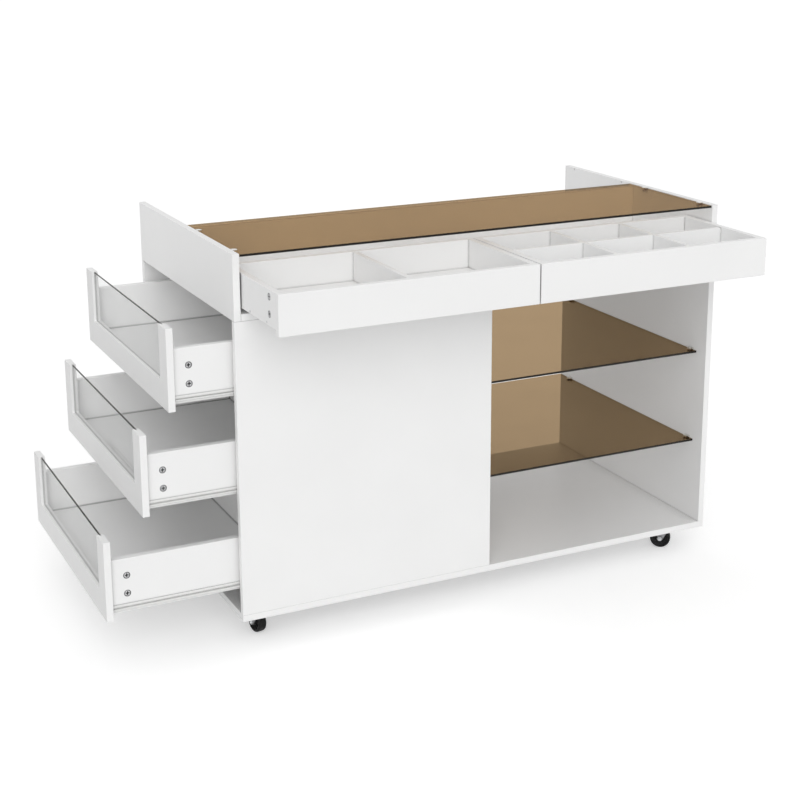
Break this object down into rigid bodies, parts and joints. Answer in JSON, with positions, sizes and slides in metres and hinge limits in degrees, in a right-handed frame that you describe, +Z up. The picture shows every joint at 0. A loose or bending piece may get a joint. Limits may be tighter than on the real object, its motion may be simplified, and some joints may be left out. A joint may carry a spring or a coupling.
{
  "type": "storage island",
  "caption": "Closet island on swivel casters with end drawers behind clear panes, top drawers under a tinted glass top, open shelf bay and rear tray.",
  "frame": {"origin": "on the floor, under the middle of the outline in plan with the drawers drawn out as stored", "axes": "+X along the length, away from the end with drawers; +Y from the front with the top drawers to the rear; +Z up"},
  "size_m": [1.49, 0.854, 0.871],
  "materials": {
    "white_board": "smooth white laminate, satin",
    "bronze_glass": "bronze tinted, polished edges",
    "clear_glass": "clear, polished edges",
    "clip_metal": "satin nickel",
    "zinc_steel": "zinc plated",
    "white_steel": "white powder coat",
    "black_tyre": "smooth black tread and web"
  },
  "bodies": {
    "carcass": {"bottom_board": "white_board", "front_panel": "white_board", "back_panel": "white_board", "centre_partition": "white_board", "right_side_panel": "white_board", "left_upper_panel": "white_board", "deck_board": "white_board", "drawer_bay_back": "white_board", "glass_top": "bronze_glass", "glass_shelves": "bronze_glass", "glass_clips": "clip_metal", "carcass_screws": "zinc_steel", "carcass_connectors": "zinc_steel", "runner_rails": "white_steel", "pan_head_screws": "zinc_steel", "top_runner_channels": "zinc_steel", "caster_plates": "zinc_steel"},
    "lower_drawer": {"lower_drawer_front_frame": "white_board", "lower_drawer_glass_pane": "clear_glass", "lower_drawer_sides": "white_board", "lower_drawer_back": "white_board", "lower_drawer_floor": "white_board", "lower_drawer_cam_locks": "zinc_steel", "lower_drawer_runners": "white_steel"},
    "middle_drawer": {"middle_drawer_front_frame": "white_board", "middle_drawer_glass_pane": "clear_glass", "middle_drawer_sides": "white_board", "middle_drawer_back": "white_board", "middle_drawer_floor": "white_board", "middle_drawer_cam_locks": "zinc_steel", "middle_drawer_runners": "white_steel"},
    "upper_drawer": {"upper_drawer_front_frame": "white_board", "upper_drawer_glass_pane": "clear_glass", "upper_drawer_sides": "white_board", "upper_drawer_back": "white_board", "upper_drawer_floor": "white_board", "upper_drawer_cam_locks": "zinc_steel", "upper_drawer_runners": "white_steel"},
    "open_tray_drawer": {"open_tray_drawer_front": "white_board", "open_tray_drawer_sides": "white_board", "open_tray_drawer_back": "white_board", "open_tray_drawer_floor": "white_board", "open_tray_drawer_fasteners": "zinc_steel", "open_tray_drawer_dividers": "white_board", "open_tray_drawer_runners": "zinc_steel"},
    "divided_drawer": {"divided_drawer_front": "white_board", "divided_drawer_sides": "white_board", "divided_drawer_back": "white_board", "divided_drawer_floor": "white_board", "divided_drawer_fasteners": "zinc_steel", "divided_drawer_dividers": "white_board", "divided_drawer_runners": "zinc_steel"},
    "caster_fork_front_left": {"caster_fork_front_left": "zinc_steel"},
    "caster_wheel_front_left": {"caster_wheel_front_left": "black_tyre"},
    "caster_fork_front_right": {"caster_fork_front_right": "zinc_steel"},
    "caster_wheel_front_right": {"caster_wheel_front_right": "black_tyre"},
    "caster_fork_rear_right": {"caster_fork_rear_right": "zinc_steel"},
    "caster_wheel_rear_right": {"caster_wheel_rear_right": "black_tyre"},
    "caster_fork_rear_left": {"caster_fork_rear_left": "zinc_steel"},
    "caster_wheel_rear_left": {"caster_wheel_rear_left": "black_tyre"}
  },
  "joints": [
    {"name": "lower_drawer_slide", "type": "slide", "parent": "carcass", "child": "lower_drawer", "axis": [-1, 0, 0], "range_m": [-0.29, 0.01]},
    {"name": "middle_drawer_slide", "type": "slide", "parent": "carcass", "child": "middle_drawer", "axis": [-1, 0, 0], "range_m": [-0.204, 0.096]},
    {"name": "upper_drawer_slide", "type": "slide", "parent": "carcass", "child": "upper_drawer", "axis": [-1, 0, 0], "range_m": [-0.14, 0.16]},
    {"name": "open_tray_drawer_slide", "type": "slide", "parent": "carcass", "child": "open_tray_drawer", "axis": [0, -1, 0], "range_m": [-0.204, 0.006]},
    {"name": "divided_drawer_slide", "type": "slide", "parent": "carcass", "child": "divided_drawer", "axis": [0, -1, 0], "range_m": [-0.204, 0.006]},
    {"name": "caster_swivel_front_left", "type": "hinge", "parent": "carcass", "child": "caster_fork_front_left", "pos_m": [-0.393, -0.161, 0.056], "axis": [0, 0, 1], "continuous": true},
    {"name": "caster_spin_front_left", "type": "hinge", "parent": "caster_fork_front_left", "child": "caster_wheel_front_left", "pos_m": [-0.39578, -0.14524, 0.025], "axis": [-0.9848, -0.1736, 0], "continuous": true},
    {"name": "caster_swivel_front_right", "type": "hinge", "parent": "carcass", "child": "caster_fork_front_right", "pos_m": [0.683, -0.161, 0.056], "axis": [0, 0, 1], "continuous": true},
    {"name": "caster_spin_front_right", "type": "hinge", "parent": "caster_fork_front_right", "child": "caster_wheel_front_right", "pos_m": [0.67074, -0.15071, 0.025], "axis": [-0.6428, -0.766, 0], "continuous": true},
    {"name": "caster_swivel_rear_right", "type": "hinge", "parent": "carcass", "child": "caster_fork_rear_right", "pos_m": [0.683, 0.365, 0.056], "axis": [0, 0, 1], "continuous": true},
    {"name": "caster_spin_rear_right", "type": "hinge", "parent": "caster_fork_rear_right", "child": "caster_wheel_rear_right", "pos_m": [0.66797, 0.35953, 0.025], "axis": [0.342, -0.9397, 0], "continuous": true},
    {"name": "caster_swivel_rear_left", "type": "hinge", "parent": "carcass", "child": "caster_fork_rear_left", "pos_m": [-0.393, 0.365, 0.056], "axis": [0, 0, 1], "continuous": true},
    {"name": "caster_spin_rear_left", "type": "hinge", "parent": "caster_fork_rear_left", "child": "caster_wheel_rear_left", "pos_m": [-0.37989, 0.35582, 0.025], "axis": [0.5736, 0.8192, 0], "continuous": true}
  ]
}
